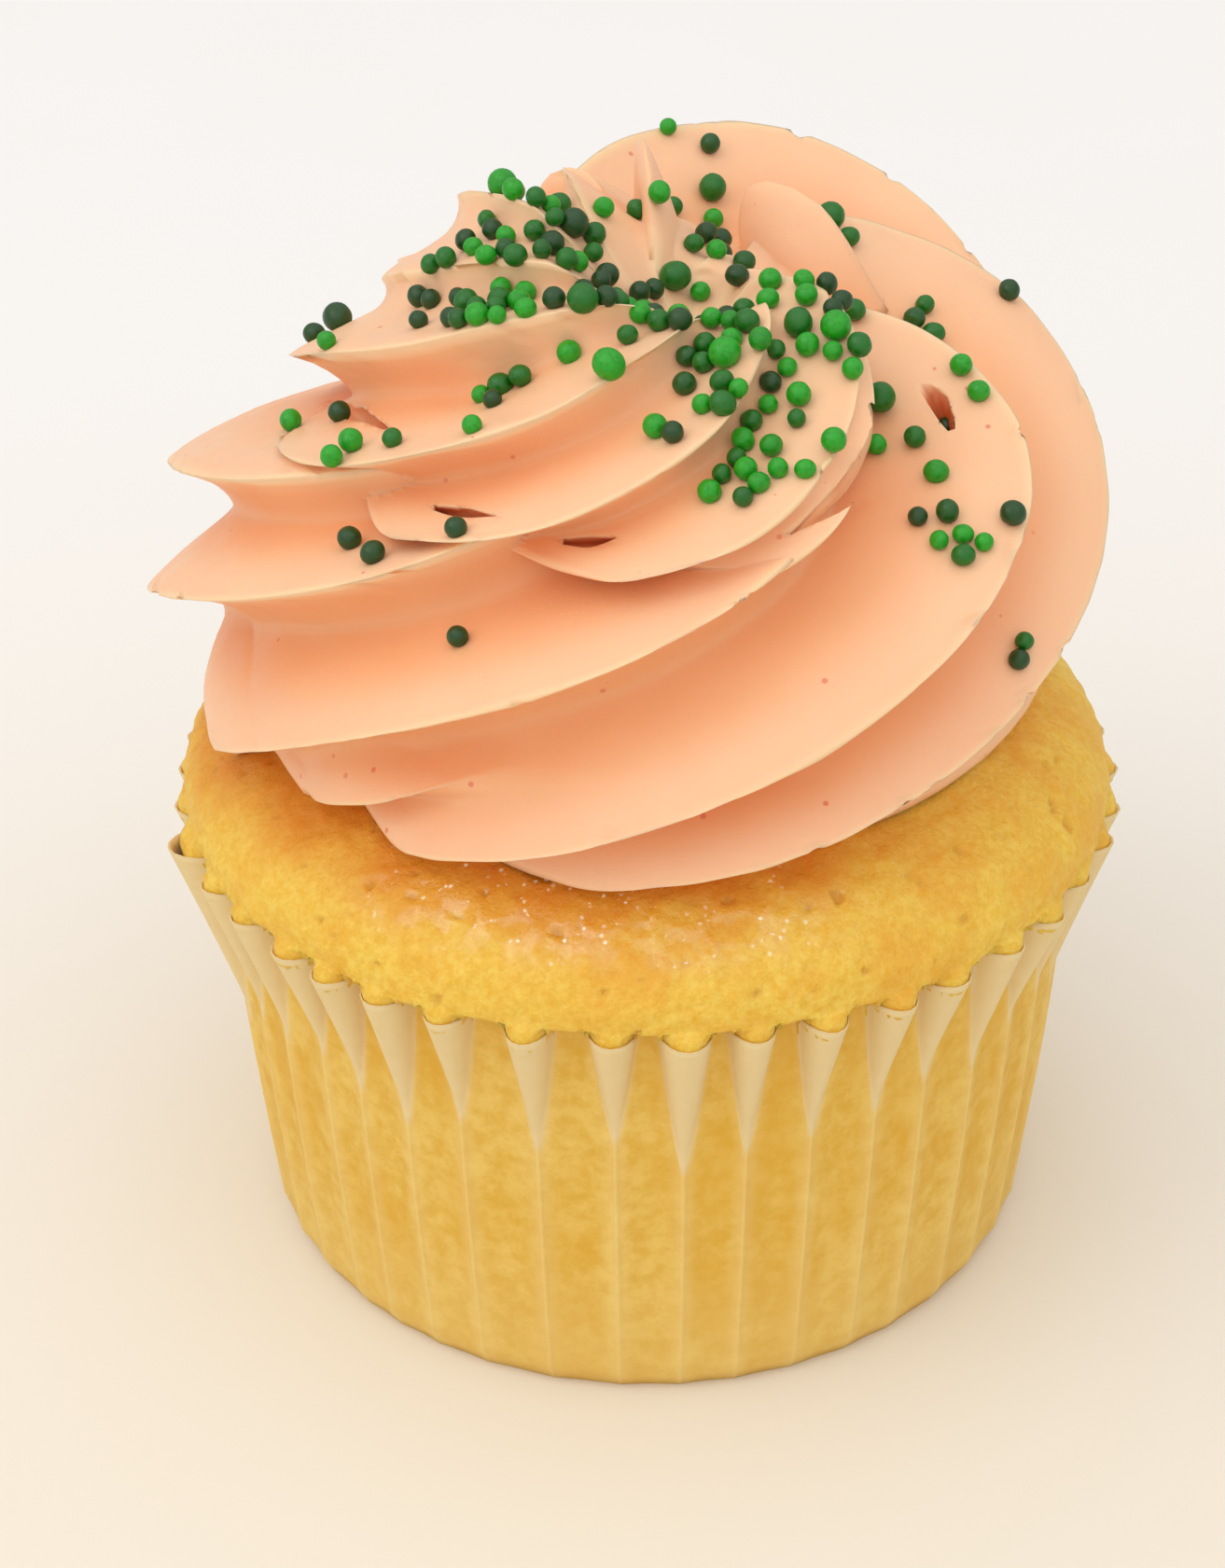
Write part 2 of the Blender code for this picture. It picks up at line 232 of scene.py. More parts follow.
def dome_height(radius):
    share = np.minimum(np.asarray(radius, float) / SPONGE_EDGE_R, 1.0)
    return mix(SPONGE_EDGE_Z, SPONGE_TOP_Z, (1 - share**DOME_POWER) ** (1 / DOME_POWER))


def mesh_from_rings(name, rings, cap_start=True, cap_end=True):
    """A closed mesh of quads over rings of equal length, its ends closed with fans."""
    count = len(rings[0])
    points = np.concatenate(rings)
    faces = []
    for k in range(len(rings) - 1):
        a, b = k * count, (k + 1) * count
        faces += [(a + i, a + (i + 1) % count, b + (i + 1) % count, b + i) for i in range(count)]
    ends = []
    if cap_start:
        ends.append(rings[0].mean(0))
        n = len(points)
        faces += [((i + 1) % count, i, n) for i in range(count)]
    if cap_end:
        n = len(points) + len(ends)
        ends.append(rings[-1].mean(0))
        last = (len(rings) - 1) * count
        faces += [(last + i, last + (i + 1) % count, n) for i in range(count)]
    points = np.concatenate([points, np.array(ends).reshape(-1, 3)])
    mesh = bpy.data.meshes.new(name)
    mesh.from_pydata((points * MM).tolist(), [], faces)
    mesh.update()
    obj = bpy.data.objects.new(name, mesh)
    bpy.context.scene.collection.objects.link(obj)
    return obj


def coordinates(obj):
    """The vertices of an object as rows of millimetres."""
    flat = np.empty(len(obj.data.vertices) * 3)
    obj.data.vertices.foreach_get("co", flat)
    return flat.reshape(-1, 3) / MM


def set_coordinates(obj, points):
    obj.data.vertices.foreach_set("co", (points * MM).ravel())
    obj.data.update()


def normals(obj):
    flat = np.empty(len(obj.data.vertices) * 3)
    obj.data.vertices.foreach_get("normal", flat)
    return flat.reshape(-1, 3)


def add_attribute(obj, name, values):
    layer = obj.data.attributes.new(name, "FLOAT", "POINT")
    layer.data.foreach_set("value", np.asarray(values, np.float32))


def field(points, size, seed=0, octaves=1):
    """Smooth noise of about -1 to 1 at each point; size is that of its blobs in mm."""
    shift = Vector((seed * 17.3, seed * -9.1, seed * 5.7))
    out = np.empty(len(points))
    for i, point in enumerate(points):
        at = Vector(point) / size + shift
        out[i] = noise.noise(at) if octaves == 1 else noise.fractal(at, 1.0, 2.0, octaves)
    return out


def shade_smooth(obj):
    obj.data.shade_smooth()


# ---------------------------------------------------------------- buttercream

def make_swirls():
    shape = (LOWER_OUTLINE, LOWER_RIDGES, (LOWER_AXIS, LOWER_LEAN), LOWER_DEPTH, LOWER_HEART_Z,
             LOWER_POINTS, LOWER_FADING, HOLLOW_FULL_AT)
    foot, near = swirl_ring(*shape, 0.0)
    rings, marks = [], []
    for share in (0.4, 0.7, 0.85, 0.93, 0.98, 1.0):
        flat = foot[:, :2] * share
        rings.append(np.column_stack([flat, dome_height(np.hypot(*flat.T)) + 0.3]))
        marks.append(near * 0)
    for i in range(LOWER_LEVELS):
        ring, near = swirl_ring(*shape, (i + 1) / LOWER_LEVELS)
        rings.append(ring)
        marks.append(near)
    lower = mesh_from_rings("frosting", rings)
    marks.append(np.zeros((2, 2)))
    lower_marks = np.concatenate(marks)
    shape = (UPPER_OUTLINE, UPPER_RIDGES, (UPPER_AXIS, UPPER_LEAN), UPPER_DEPTH, UPPER_HEART_Z,
             UPPER_POINTS, None, 0.1)
    rings, marks = [], []
    for i in range(UPPER_LEVELS + 1):
        ring, near = swirl_ring(*shape, UPPER_END * i / UPPER_LEVELS)
        rings.append(ring)
        marks.append(near)
    upper = mesh_from_rings("upper_swirl", rings)
    marks.append(np.zeros((2, 2)))
    return lower, lower_marks, upper, np.concatenate(marks)


def make_slit(path, depth):
    """A cutter for the gap between two strands: a lens swept along its path."""
    way = Vector(SLIT_WAY).normalized()
    path = np.array(path)
    stations = np.linspace(0, len(path) - 1, 4 * (len(path) - 1) + 1)
    course = np.column_stack([np.interp(stations, range(len(path)), path[:, k]) for k in range(4)])
    for _ in range(3):
        course[1:-1] = (course[:-2] + 2 * course[1:-1] + course[2:]) / 4
    down = course[:, :3] @ np.array(way)
    level = np.linspace(down[0], down[-1], len(down))
    course[:, :3] += np.outer(level - down, np.array(way))
    along = np.gradient(course[:, :3], axis=0)
    rings = []
    for (x, y, z, half), heading in zip(course, along):
        side = Vector(heading).cross(way).normalized()
        ring = []
        for k in range(12):
            turn = math.tau * k / 12
            down = (depth - 1.5) / 2 + (depth + 1.5) / 2 * math.sin(turn)
            ring.append(Vector((x, y, z)) + side * half * math.cos(turn) + way * down)
        rings.append(np.array(ring))
    return mesh_from_rings("slit", rings)


def make_peak(foot, tip, half_length, half_width, azimuth):
    """A thin blade of buttercream, drawn up to a torn point."""
    turn = math.radians(azimuth)
    along = np.array((math.cos(turn), math.sin(turn), 0))
    side = np.array((-along[1], along[0], 0))
    foot, tip = np.array(foot), np.array(tip)
    rings = []
    for up in np.linspace(0, 1, 12):
        size = (1 - up) ** 0.6 + 0.04
        centre = mix(foot, tip, up ** 1.1)
        ring = []
        for k in range(20):
            spin = math.tau * k / 20
            across = math.sin(spin) * half_width * (1 - 0.55 * math.sin(spin) * math.sin(math.pi * up))
            ring.append(centre + along * math.cos(spin) * half_length * size ** 0.5
                        + side * across * size)
        rings.append(np.array(ring))
    return mesh_from_rings("peak", rings)


def outward(obj):
    """The object with its faces turned to point outwards."""
    build = bmesh.new()
    build.from_mesh(obj.data)
    bmesh.ops.recalc_face_normals(build, faces=build.faces)
    build.to_mesh(obj.data)
    build.free()
    return obj


def make_frosting(finish):
    lower, lower_marks, upper, upper_marks = make_swirls()
    places = np.concatenate([coordinates(lower), coordinates(upper)])
    marks = np.concatenate([lower_marks, upper_marks])
    tree = KDTree(len(places))
    for i, place in enumerate(places):
        tree.insert(place, i)
    tree.balance()
    tools = [(upper, "UNION")]
    tools += [(outward(make_peak(*peak)), "UNION") for peak in PEAKS]
    tools += [(outward(make_slit(*slit)), "DIFFERENCE") for slit in SLITS]
    for tool, operation in tools:
        change = lower.modifiers.new(tool.name, "BOOLEAN")
        change.operation = operation
        change.solver = "EXACT"
        change.object = tool
    graph = bpy.context.evaluated_depsgraph_get()
    joined = bpy.data.meshes.new_from_object(lower.evaluated_get(graph))
    lower.modifiers.clear()
    lower.data = joined
    for tool, _ in tools:
        bpy.data.objects.remove(tool)
    points = coordinates(lower)
    nearest = [tree.find(p)[1:] for p in points]
    far = np.array([distance for _, distance in nearest])
    near, sunk = np.array([marks[i] for i, _ in nearest]).T
    near = near * (1 - smoothstep(0.4, 1.2, far))
    out = normals(lower)
    sway = 0.28 * field(points, 9.0, 1) + 0.10 * field(points, 3.0, 2)
    nick = np.maximum(field(points * np.array([1, 1, 1.6]), 1.6, 3) - 0.36, 0) * near * 1.2
    hold = smoothstep(-1.5, 1.0, points[:, 2] - dome_height(np.hypot(points[:, 0], points[:, 1])) - 1.0)
    hold *= 1 - smoothstep(0.4, 1.5, far)
    set_coordinates(lower, points + out * ((sway - nick) * hold)[:, None])
    # painted shade: how near each point lies to the inside of a slit, which the finish darkens
    way = np.array(SLIT_WAY)
    deep = np.zeros(len(points))
    for path, depth in SLITS:
        for x, y, z, _ in path:
            gap = points - np.array((x, y, z)) - way * 2.5
            deep = np.maximum(deep, 1 - smoothstep(1.5, 4.0, np.linalg.norm(gap, axis=1)))
    # crest: how near each point is to a crest; the finish paints a highlight there
    add_attribute(lower, "crest", near)
    # painted shade: the depth of the hollows, which the finish turns into a deeper orange
    add_attribute(lower, "hollow_shade", sunk)
    add_attribute(lower, "deep", deep * smoothstep(0.15, 0.8, far))
    lower.data.materials.clear()
    lower.data.materials.append(finish)
    shade_smooth(lower)
    return lower


# ---------------------------------------------------------------- paper case

def pleat_centres():
    """The azimuth of each pleat. Those at the front are uneven, the others nearly even."""
    chance = random.Random(SEED)
    first, last = FRONT_PLEATS[0], FRONT_PLEATS[-1]
    others = PLEATS - len(FRONT_PLEATS)
    step = (360 - (last - first)) / (others + 1)
    rest = [last + step * (i + 1) + chance.uniform(-0.9, 0.9) for i in range(others)]
    return list(FRONT_PLEATS) + rest


def pleat_shapes():
    """For each pleat: how far its loose fold reaches down, half its width and how far it
    stands out at the rim."""
    chance = random.Random(SEED + 1)
    shapes = [(chance.uniform(9.0, 12.5), chance.uniform(1.5, 1.8), chance.uniform(2.5, 3.0))
              for _ in range(PLEATS)]
    shapes[FLAP] = FLAP_SHAPE
    return shapes


def case_ring(height):
    """The outside of the paper at a height, from the middle of one pleat to the next all
    round: azimuths, radii, how loose the paper is, and how near a fold it is."""
    up = height / CASE_HEIGHT
    stuck = mix(CASE_BASE_R, RIM_IN_R, up)
    crease = 0.16 + 0.3 * math.sin(math.pi * min(up * 1.15, 1.0))
    centres = pleat_centres()
    shapes = pleat_shapes()
    azimuth, radius, loose, fold = [], [], [], []
    for k in range(PLEATS):
        start, stop = centres[k], centres[(k + 1) % PLEATS] + (360 if k == PLEATS - 1 else 0)
        pitch = math.radians(stop - start) * stuck
        halves = []
        for reach, width, stand in (shapes[k], shapes[(k + 1) % PLEATS]):
            down = min((CASE_HEIGHT - height) / reach, 1.0)
            halves.append((max(width * (1 - down) ** 0.85, 0.18), stand * (1 - down) ** 1.1, 1 - down))
        (wide, out, open_), (next_wide, next_out, next_open) = halves
        for i in range(LOBE_POINTS):
            part = math.sin(math.pi / 2 * i / LOBE_POINTS)
            azimuth.append(start + (stop - start) * wide * part / pitch)
            radius.append(max(out * (1 - part**2) ** 0.55, crease * (1 - 0.25 * part**2)))
            loose.append(min(open_ / 0.08, 1.0))
            fold.append(1 - 0.3 * part)
        gap = pitch - wide - next_wide
        for i in range(GAP_POINTS):
            part = (0.0, 0.10, 0.25, 0.42, 0.58, 0.75, 0.9, 0.97)[i]
            azimuth.append(start + (stop - start) * (wide + gap * part) / pitch)
            radius.append(crease * 0.75 * abs(2 * part - 1) ** 1.5)
            loose.append(0.75 * min(open_ / 0.08, 1.0) if i == 0 else 0.0)
            fold.append(0.7 * abs(2 * part - 1))
        for i in range(LOBE_POINTS):
            part = math.cos(math.pi / 2 * i / LOBE_POINTS)
            azimuth.append(stop - (stop - start) * next_wide * part / pitch)
            radius.append(max(next_out * (1 - part**2) ** 0.55, crease * (1 - 0.25 * part**2)))
            loose.append(min(next_open / 0.08, 1.0))
            fold.append(1 - 0.3 * part)
    return (np.array(azimuth), stuck + np.array(radius), np.array(loose), np.array(fold))


def make_case(finish):
    rings, looseness, folds = [], [], []
    for inset in (0.0, PAPER):
        side = []
        for i in range(CASE_LEVELS + 1):
            height = CASE_HEIGHT * (i / CASE_LEVELS) ** 0.8
            azimuth, radius, loose, fold = case_ring(height)
            turn = np.radians(azimuth)
            share = 1 - min(height / CASE_FILLET, 1)
            radius = radius - inset - CASE_FILLET * (1 - math.sqrt(1 - share**2))
            level = np.full_like(radius, max(height, inset))
            side.append((np.column_stack([radius * np.cos(turn), radius * np.sin(turn), level]),
                         loose, fold))
        if inset:
            side.reverse()
        rings += [ring for ring, _, _ in side]
        looseness += [loose for _, loose, _ in side]
        folds += [fold for _, _, fold in side]
    obj = mesh_from_rings("paper_case_visual", rings)
    add_attribute(obj, "loose", np.concatenate(looseness + [np.zeros(2)]))
    add_attribute(obj, "fold", np.concatenate(folds + [np.zeros(2)]))
    obj.data.materials.append(finish)
    shade_smooth(obj)
    return obj


# ---------------------------------------------------------------- sponge

SPONGE_RIM = (
    (31.12, 32.85, 31.35, 32.85), (31.0, 32.6, 31.7, 32.45), (30.7, 32.4, 31.95, 32.0),
    (30.2, 32.25, 32.0, 31.7), (29.6, 32.17, 31.8, 31.3), (29.1, 32.05, 31.4, 30.9),
    (28.85, 31.6, 30.5, 30.5), (28.6, 30.0, 28.7, 29.0),
)


def make_sponge(finish, cream_tree):
    """The cake: domed under the buttercream, bulging over the rim, and pressed into the
    loose folds of the paper there. Below that it only has to lie inside the paper."""
    azimuth, radius, _, _ = case_ring(CASE_HEIGHT)
    turn = np.radians(azimuth)
    fill = np.clip((radius - RIM_IN_R) / 2.7, 0, 1)
    inner = list(np.linspace(1.5, 19.0, 10))
    outer = list(19.0 + 12.1 * np.sin(np.linspace(0.06, math.pi / 2, 64)))
    profile = [(r, float(dome_height(r)), r, float(dome_height(r))) for r in inner + outer]
    profile += list(SPONGE_RIM)
    profile += [(r, z, r, z) for r, z in ((28.2, 25.0), (27.3, 14.0), (26.2, 1.5), (25.0, 0.4))]
    rings = []
    for tight_r, tight_z, open_r, open_z in reversed(profile):
        reach, height = mix(tight_r, open_r, fill), mix(tight_z, open_z, fill)
        if tight_z < 32.8:
            reach = np.where(fill > 0.3, np.minimum(reach, radius - PAPER - 0.1), reach)
        rings.append(np.column_stack([reach * np.cos(turn), reach * np.sin(turn), height]))
    obj = mesh_from_rings("sponge_visual", rings)
    points = coordinates(obj)
    out = normals(obj)
    reach = np.hypot(points[:, 0], points[:, 1])
    shown = smoothstep(31.6, 33.0, points[:, 2]) * smoothstep(14.0, 20.0, reach)
    pits = smoothstep(0.50, 0.72, field(points, 1.1, 13)) * 0.3
    crumb = 0.10 * field(points, 0.9, 14) + 0.16 * field(points, 1.8, 11, 2) + 0.22 * field(points, 7.0, 12)
    set_coordinates(obj, points + out * ((crumb - pits) * shown)[:, None])
    points = coordinates(obj)
    distance = np.array([cream_tree.find_nearest(Vector(p) * MM)[3] or 1.0 for p in points]) / MM
    bearing = np.degrees(np.arctan2(points[:, 1], points[:, 0]))
    wet = (smoothstep(-135.0, -115.0, bearing) * (1 - smoothstep(-80.0, -58.0, bearing))
           * smoothstep(22.0, 25.0, reach) * (1 - smoothstep(28.6, 30.4, reach)))
    # painted shade on the sponge next to the buttercream, kept weaker on the right side
    fade = 1 - 0.75 * smoothstep(-75.0, -40.0, bearing) * (1 - smoothstep(40.0, 80.0, bearing))
    add_attribute(obj, "shade_near_cream", np.clip(1 - distance / 6.5, 0, 1) * fade)
    # pit: where the pits lie, which the finish paints darker as shade
    add_attribute(obj, "pit", pits / 0.3 * shown)
    add_attribute(obj, "wet", wet)
    obj.data.materials.append(finish)
    shade_smooth(obj)
    return obj


# ---------------------------------------------------------------- sprinkles

# Where sprinkles fell: x and y of each group, its spread along x and y, and how many
SPRINKLE_GROUPS = (
    (-5, -2, 2.7, 2.6, 34), (-3, -6.5, 3.8, 1.8, 24), (5, -11, 2.6, 3.2, 36),
    (10.5, -7, 2.3, 2.0, 15), (-10.5, 0, 1.8, 0.5, 6), (-9, -8, 1.6, 1.0, 8),
    (3.5, 4, 2.5, 2.0, 10), (-17, -13, 1.9, 1.0, 4), (20, -15.5, 1.7, 1.2, 8),
    (6, -18, 1.6, 1.2, 5), (20.5, -4, 1.2, 1.4, 5), (17.5, 5, 1.2, 1.5, 4),
    (12, 0, 1.5, 1.5, 3), (2, 20, 3.0, 3.0, 8), (-7.5, 14, 0.6, 2.0, 2),
    (-19, 2, 1.6, 4.0, 5), (16, -14, 2.0, 3.0, 3), (0, -17.5, 7.0, 2.0, 4),
    (-15.5, -18.5, 0.5, 0.5, 1), (14.5, 13.5, 3.0, 1.5, 3),
)


def make_sprinkles(finish, cream_tree):
    chance = random.Random(SEED + 5)
    build = bmesh.new()
    shades = build.verts.layers.float.new("shade")
    placed = []
    for x, y, spread_x, spread_y, count in SPRINKLE_GROUPS:
        made, tries = 0, 0
        while made < count and tries < 4000:
            tries += 1
            spot = Vector((chance.gauss(x, spread_x), chance.gauss(y, spread_y), 95))
            size = (chance.uniform(*SPRINKLE_D) if chance.random() < 0.93 else SPRINKLE_BIG) / 2
            hit, normal, _, _ = cream_tree.ray_cast(spot * MM, Vector((0, 0, -1)))
            if hit is None:
                continue
            centre = hit / MM + normal * size * chance.uniform(0.55, 0.85)
            if any((centre - other).length < (size + room) * 0.97 for other, room in placed):
                continue
            placed.append((centre, size))
            made += 1
            tone = chance.random()
            stretch = Vector((1, 1, chance.uniform(0.92, 1.12)))
            ball = bmesh.ops.create_icosphere(build, subdivisions=3, radius=1.0)
            spin = Matrix.Rotation(chance.uniform(0, math.tau), 3, "X") @ Matrix.Rotation(chance.uniform(0, math.tau), 3, "Y")
            for v in ball["verts"]:
                wobble = 1 + 0.03 * noise.noise(v.co * 1.7 + centre)
                v.co = (centre + spin @ Vector((v.co[k] * stretch[k] for k in range(3))) * size * wobble) * MM
                v[shades] = tone
    mesh = bpy.data.meshes.new("sprinkles")
    build.to_mesh(mesh)
    build.free()
    obj = bpy.data.objects.new("sprinkles", mesh)
    bpy.context.scene.collection.objects.link(obj)
    mesh.materials.append(finish)
    shade_smooth(obj)
    return obj


# ---------------------------------------------------------------- materials

class Finish:
    """A material being built: its node tree, its shader and coordinates in millimetres."""

    def __init__(self, name, **sockets):
        self.material = bpy.data.materials.new(name)
        self.material.use_nodes = True
        self.tree = self.material.node_tree
        self.shader = self.tree.nodes["Principled BSDF"]
        for socket, value in sockets.items():
            self.shader.inputs[socket.replace("_", " ")].default_value = value
        place = self.tree.nodes.new("ShaderNodeTexCoord")
        grow = self.tree.nodes.new("ShaderNodeVectorMath")
        grow.operation = "SCALE"
        grow.inputs["Scale"].default_value = 1 / MM
        self.tree.links.new(place.outputs["Object"], grow.inputs[0])
        self.place = grow.outputs[0]

    def link(self, source, target):
        self.tree.links.new(source, target)

    def noise(self, size, detail=2.0, rough=0.5, distortion=0.0, stretch=None):
        node = self.tree.nodes.new("ShaderNodeTexNoise")
        node.inputs["Scale"].default_value = 1 / size
        node.inputs["Detail"].default_value = detail
        node.inputs["Roughness"].default_value = rough
        node.inputs["Distortion"].default_value = distortion
        source = self.place
        if stretch:
            grow = self.tree.nodes.new("ShaderNodeVectorMath")
            grow.operation = "MULTIPLY"
            grow.inputs[1].default_value = stretch
            self.link(source, grow.inputs[0])
            source = grow.outputs[0]
        self.link(source, node.inputs["Vector"])
        return node.outputs["Fac"]

    def cells(self, size, feature="F1"):
        node = self.tree.nodes.new("ShaderNodeTexVoronoi")
        node.feature = feature
        node.inputs["Scale"].default_value = 1 / size
        self.link(self.place, node.inputs["Vector"])
        return node.outputs["Distance"]

    def attribute(self, name):
        node = self.tree.nodes.new("ShaderNodeAttribute")
        node.attribute_name = name
        return node.outputs["Fac"]

    def ramp(self, source, low, high, to_low=0.0, to_high=1.0):
        node = self.tree.nodes.new("ShaderNodeMapRange")
        node.interpolation_type = "SMOOTHSTEP"
        for socket, value in zip(("From Min", "From Max", "To Min", "To Max"), (low, high, to_low, to_high)):
            node.inputs[socket].default_value = value
        self.link(source, node.inputs["Value"])
        return node.outputs["Result"]

    def math(self, operation, a, b):
        node = self.tree.nodes.new("ShaderNodeMath")
        node.operation = operation
        for socket, value in zip(node.inputs, (a, b)):
            if isinstance(value, (int, float)):
                socket.default_value = value
            else:
                self.link(value, socket)
        return node.outputs[0]

    def blend(self, factor, a, b, mode="MIX"):
        node = self.tree.nodes.new("ShaderNodeMix")
        node.data_type = "RGBA"
        node.blend_type = mode
        if isinstance(factor, (int, float)):
            node.inputs[0].default_value = factor
        else:
            self.link(factor, node.inputs[0])
        for socket, value in ((node.inputs[6], a), (node.inputs[7], b)):
            if isinstance(value, tuple):
                socket.default_value = (*value, 1.0)
            else:
                self.link(value, socket)
        return node.outputs[2]

    def bump(self, source, distance, strength=1.0, under=None):
        node = self.tree.nodes.new("ShaderNodeBump")
        node.inputs["Strength"].default_value = strength
        node.inputs["Distance"].default_value = distance * MM
        self.link(source, node.inputs["Height"])
        if under:
            self.link(under, node.inputs["Normal"])
        return node.outputs["Normal"]

    def wear(self, **sockets):
        for socket, source in sockets.items():
            self.link(source, self.shader.inputs[socket.replace("_", " ")])
        return self.material


def cream_finish():
    f = Finish("buttercream", Roughness=0.42, Subsurface_Weight=0.25, Subsurface_Scale=1.3 * MM,
               Subsurface_Radius=(1.0, 0.5, 0.22), Specular_IOR_Level=0.35)
    tone = f.blend(f.noise(7.0, 3.0), linear(246, 190, 148), linear(250, 200, 158))
    # painted highlight: paler along the crests
    tone = f.blend(f.ramp(f.attribute("crest"), 0.45, 1.0, 0.0, 0.55), tone, linear(250, 214, 168))
    # painted shade: deeper orange down in the hollows between the ridges
    tone = f.blend(f.ramp(f.attribute("hollow_shade"), 0.25, 1.0, 0.0, 0.65), tone, linear(244, 168, 112))
    speck = f.ramp(f.cells(2.6), 0.055, 0.085, 0.75, 0.0)
    some = f.ramp(f.noise(6.0, 1.0), 0.46, 0.52)
    tone = f.blend(f.math("MULTIPLY", speck, some), tone, linear(226, 120, 98))
    # painted shade: dark orange inside the slits
    tone = f.blend(f.math("MULTIPLY", f.attribute("deep"), 0.85), tone, linear(214, 104, 44))
    grain = f.noise(0.35, 3.0, 0.6)
    rough = f.ramp(f.noise(2.2, 2.0), 0.3, 0.7, 0.38, 0.52)
    normal = f.bump(grain, 0.02)
    return f.wear(Base_Color=tone, Roughness=rough, Normal=normal)


def sponge_finish():
    f = Finish("sponge", Roughness=0.5, Subsurface_Weight=0.3, Subsurface_Scale=1.2 * MM,
               Subsurface_Radius=(1.0, 0.6, 0.15), Specular_IOR_Level=0.4)
    tone = f.blend(f.ramp(f.noise(0.6, 6.0, 0.75), 0.3, 0.7), linear(231, 180, 50), linear(241, 206, 92))
    tone = f.blend(f.ramp(f.noise(4.5, 3.0), 0.4, 0.7, 0.0, 0.45), tone, linear(230, 156, 36))
    # painted shade: darker orange on the sponge next to the buttercream
    shade_under_cream = f.math("MULTIPLY", f.attribute("shade_near_cream"), f.ramp(f.noise(3.0, 3.0), 0.25, 0.6, 0.6, 1.0))
    tone = f.blend(f.ramp(shade_under_cream, 0.0, 1.0, 0.0, 0.9), tone, linear(216, 128, 26))
    # painted shade: darker in the pits
    tone = f.blend(f.math("MULTIPLY", f.attribute("pit"), 0.45), tone, linear(206, 134, 34))
    wet = f.math("MULTIPLY", f.attribute("wet"), f.ramp(f.noise(1.6, 2.0), 0.40, 0.56))
    glint = f.math("MULTIPLY", f.ramp(f.cells(0.62), 0.16, 0.30, 1.0, 0.0), f.ramp(f.noise(1.1, 2.0), 0.5, 0.56))
    glint = f.math("MULTIPLY", glint, wet)
    tone = f.blend(glint, tone, linear(255, 246, 214))
    rough = f.ramp(wet, 0.0, 1.0, 0.6, 0.16)
    fine = f.bump(f.noise(0.28, 2.0, 0.6), 0.06)
    normal = f.bump(f.noise(0.7, 3.0, 0.65), 0.16, 1.0, fine)
    return f.wear(Base_Color=tone, Roughness=rough, Normal=normal, Coat_Weight=wet)


def paper_finish():
    f = Finish("paper", Roughness=0.7, Specular_IOR_Level=0.3)
    stuck = f.blend(f.ramp(f.noise(1.4, 5.0, 0.65), 0.3, 0.7), linear(222, 174, 64), linear(234, 196, 100))
    patch = f.ramp(f.noise(5.0, 3.0, 0.6, 0.0, (1, 1, 0.45)), 0.4, 0.65, 0.0, 0.5)
    stuck = f.blend(patch, stuck, linear(222, 166, 46))
    stuck = f.blend(f.ramp(f.attribute("fold"), 0.3, 0.95, 0.0, 0.5), stuck, linear(242, 214, 140))
    split = f.tree.nodes.new("ShaderNodeSeparateXYZ")
    f.link(f.place, split.inputs[0])
    stuck = f.blend(f.ramp(split.outputs["Z"], 1.0, 14.0, 0.35, 0.0), stuck, linear(232, 200, 120))
    loose = f.blend(f.noise(1.2, 3.0), linear(228, 202, 146), linear(234, 210, 158))
    tone = f.blend(f.attribute("loose"), stuck, loose)
    tone = f.blend(f.ramp(f.cells(15.0), 0.018, 0.026, 0.9, 0.0), tone, linear(120, 66, 30))
    normal = f.bump(f.noise(0.25, 2.0), 0.01)
    rough = f.ramp(f.noise(1.5, 2.0), 0.3, 0.7, 0.62, 0.78)
    return f.wear(Base_Color=tone, Normal=normal, Roughness=rough)


def sprinkle_finish():
    f = Finish("sprinkles", Roughness=0.3, Specular_IOR_Level=0.5)
    shade = f.attribute("shade")
    tone = f.blend(f.ramp(shade, 0.25, 0.35), linear(26, 66, 20), linear(22, 108, 18))
    tone = f.blend(f.ramp(shade, 0.62, 0.7), tone, linear(30, 160, 22))
    mottle = f.noise(0.3, 3.0)
    tone = f.blend(f.ramp(mottle, 0.4, 0.75, 0.0, 0.35), tone, linear(16, 76, 16))
    rough = f.ramp(f.noise(0.4, 2.0), 0.3, 0.7, 0.28, 0.5)
    return f.wear(Base_Color=tone, Roughness=rough, Normal=f.bump(mottle, 0.02))


def floor_finish():
    f = Finish("floor", Roughness=0.8, Specular_IOR_Level=0.1)
    split = f.tree.nodes.new("ShaderNodeSeparateXYZ")
    f.link(f.place, split.inputs[0])
    back = f.ramp(split.outputs["Y"], -120.0, 180.0)
    tone = f.blend(back, linear(238, 229, 211), linear(240, 237, 234))
    tone = f.blend(f.ramp(f.noise(40.0, 2.0), 0.3, 0.7, 0.0, 0.1), tone, linear(238, 232, 224))
    return f.wear(Base_Color=tone)


# ---------------------------------------------------------------- stage

def make_floor():
    build = bmesh.new()
    bmesh.ops.create_circle(build, cap_ends=True, cap_tris=True, segments=96, radius=3.0)
    mesh = bpy.data.meshes.new("floor")
    build.to_mesh(mesh)
    build.free()
    obj = bpy.data.objects.new("floor", mesh)
    obj.location.z = -0.02 * MM
    bpy.context.scene.collection.objects.link(obj)
    mesh.materials.append(floor_finish())


def area_light(name, place, aim, size, energy, colour):
    light = bpy.data.lights.new(name, "AREA")
    light.shape = "DISK"
    light.size = size
    light.energy = energy
    light.color = colour
    obj = bpy.data.objects.new(name, light)
    obj.location = place
    obj.rotation_euler = (Vector(aim) - Vector(place)).to_track_quat("-Z", "Y").to_euler()
    bpy.context.scene.collection.objects.link(obj)


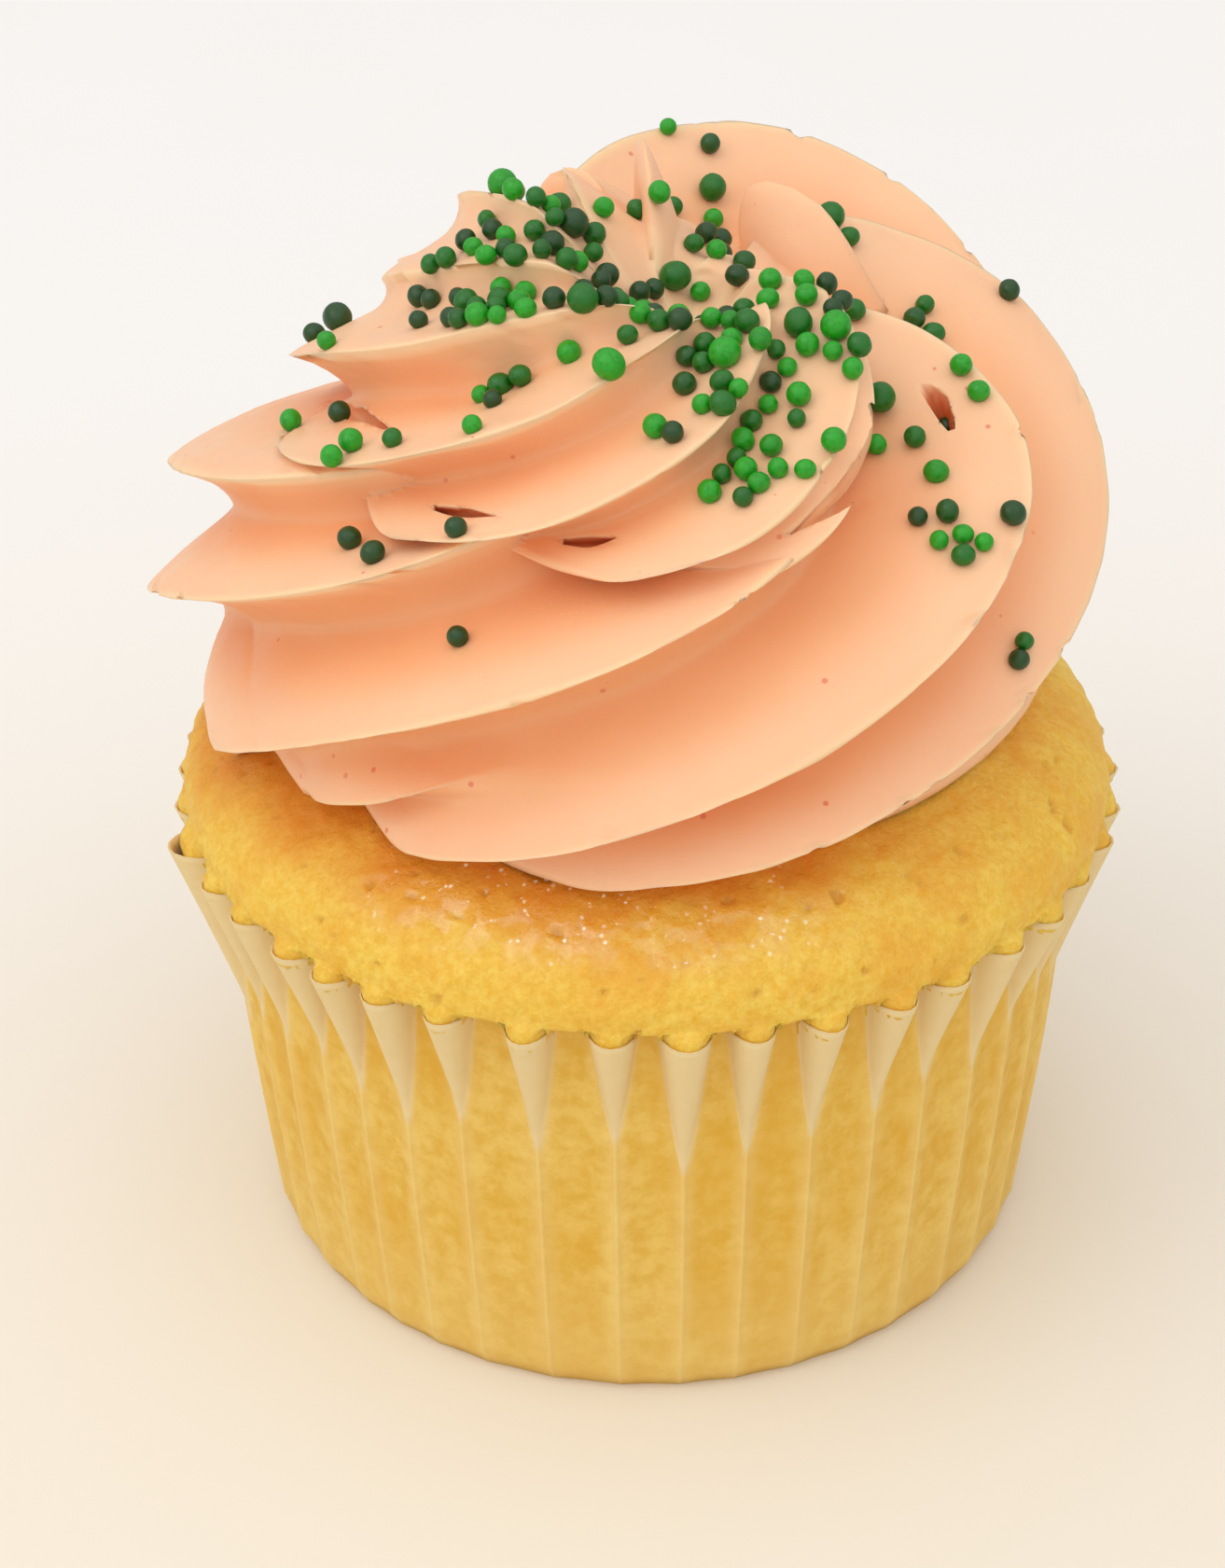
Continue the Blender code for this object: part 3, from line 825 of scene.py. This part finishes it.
def make_lights():
    world = bpy.data.worlds.new("studio")
    world.use_nodes = True
    tree = world.node_tree
    back = tree.nodes["Background"]
    back.inputs["Strength"].default_value = 1.0
    place = tree.nodes.new("ShaderNodeTexCoord")
    lift = tree.nodes.new("ShaderNodeVectorMath")
    lift.operation = "DOT_PRODUCT"
    lift.inputs[1].default_value = Vector(SKY_SIDE).normalized()
    tree.links.new(place.outputs["Generated"], lift.inputs[0])
    spread = tree.nodes.new("ShaderNodeMapRange")
    spread.inputs["From Min"].default_value = 0.0
    spread.inputs["From Max"].default_value = 1.0
    spread.inputs["To Min"].default_value = 0.0
    spread.inputs["To Max"].default_value = 1.0
    tree.links.new(lift.outputs["Value"], spread.inputs["Value"])
    colour = tree.nodes.new("ShaderNodeMix")
    colour.data_type = "RGBA"
    colour.inputs[6].default_value = (*SKY_LOW, 1.0)
    colour.inputs[7].default_value = (*SKY_HIGH, 1.0)
    tree.links.new(spread.outputs["Result"], colour.inputs[0])
    tree.links.new(colour.outputs[2], back.inputs["Color"])
    bpy.context.scene.world = world
    area_light("key", (-0.30, -0.16, 0.42), (0, 0, 0.05), 0.34, 0.27, (1.0, 0.985, 0.96))


SKY_SIDE = (-0.1, -0.3, 0.92)
SKY_LOW = (0.42, 0.425, 0.435)
SKY_HIGH = (1.40, 1.395, 1.39)
CAMERA_PLACE = (0.5, -188.0, 151.0)
CAMERA_DOWN = 32.6
CAMERA_TURN = -0.85
CAMERA_ROLL = -0.6
CAMERA_LENS = 74.96


def make_camera():
    camera = bpy.data.cameras.new("camera")
    camera.lens = CAMERA_LENS
    camera.sensor_width = 36.0
    camera.clip_start = 0.01
    obj = bpy.data.objects.new("camera", camera)
    turn = (Matrix.Rotation(math.radians(-CAMERA_TURN), 4, "Z")
            @ Matrix.Rotation(math.radians(90 - CAMERA_DOWN), 4, "X")
            @ Matrix.Rotation(math.radians(CAMERA_ROLL), 4, "Z"))
    obj.matrix_world = Matrix.Translation(Vector(CAMERA_PLACE) * MM) @ turn
    bpy.context.scene.collection.objects.link(obj)
    bpy.context.scene.camera = obj


bpy.context.scene.view_settings.view_transform = "Standard"
make_camera()
make_lights()
make_floor()

cream = make_frosting(cream_finish())
cream_tree = BVHTree.FromObject(cream, bpy.context.evaluated_depsgraph_get())
case = make_case(paper_finish())
crumb = make_sponge(sponge_finish(), cream_tree)
beads = make_sprinkles(sprinkle_finish(), cream_tree)

for piece, node, slot in ((cream, "frosting", "buttercream"), (case, "paper_case", "paper"),
                          (crumb, "sponge", "sponge")):
    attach(piece, "root")
    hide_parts(node)
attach(beads, "root")
